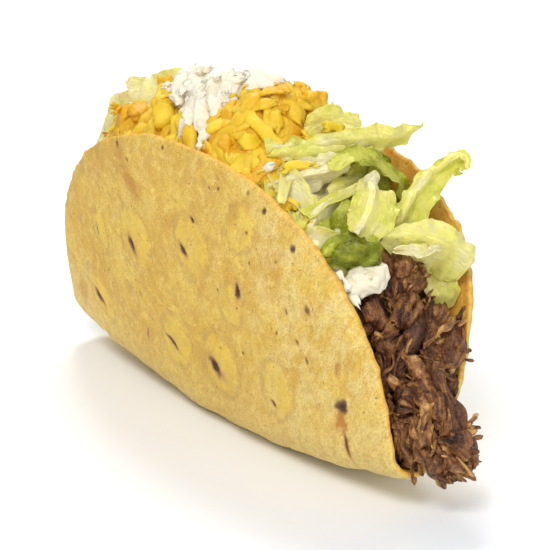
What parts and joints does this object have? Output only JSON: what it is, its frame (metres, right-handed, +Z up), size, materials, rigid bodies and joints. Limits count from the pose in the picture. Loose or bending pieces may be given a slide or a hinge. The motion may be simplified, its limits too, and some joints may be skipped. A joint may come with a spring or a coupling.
{
  "type": "taco",
  "caption": "Crisp folded corn tortilla filled with shredded beef, lettuce, cheddar shreds and white cheese; a hand-held meal standing on its fold.",
  "frame": {"origin": "middle of the flat resting spot under the fold", "axes": "+Z up, +Y along the fold towards the narrow end (the wide mouth faces -Y), +X towards the wall that flares at the mouth"},
  "size_m": [0.0531, 0.1485, 0.0835],
  "materials": {
    "tortilla": "matte, fried corn",
    "beef": "moist, slightly glossy fibres",
    "lettuce": "crisp, satin leaf",
    "cheddar": "satin",
    "white_cheese": "matte, crumbly"
  },
  "bodies": {
    "root": {"tortilla_shell": "tortilla", "shredded_beef": "beef", "shredded_lettuce": "lettuce", "shredded_cheddar": "cheddar", "white_cheese_top": "white_cheese", "white_cheese_front": "white_cheese", "lettuce_blade": "lettuce", "lettuce_wing": "lettuce", "lettuce_pale_leaf": "lettuce", "lettuce_dark_leaf": "lettuce", "lettuce_green_arc": "lettuce", "lettuce_long_strip": "lettuce", "lettuce_top_curl": "lettuce", "lettuce_rear_leaf": "lettuce", "lettuce_tall_leaf": "lettuce"}
  },
  "joints": []
}
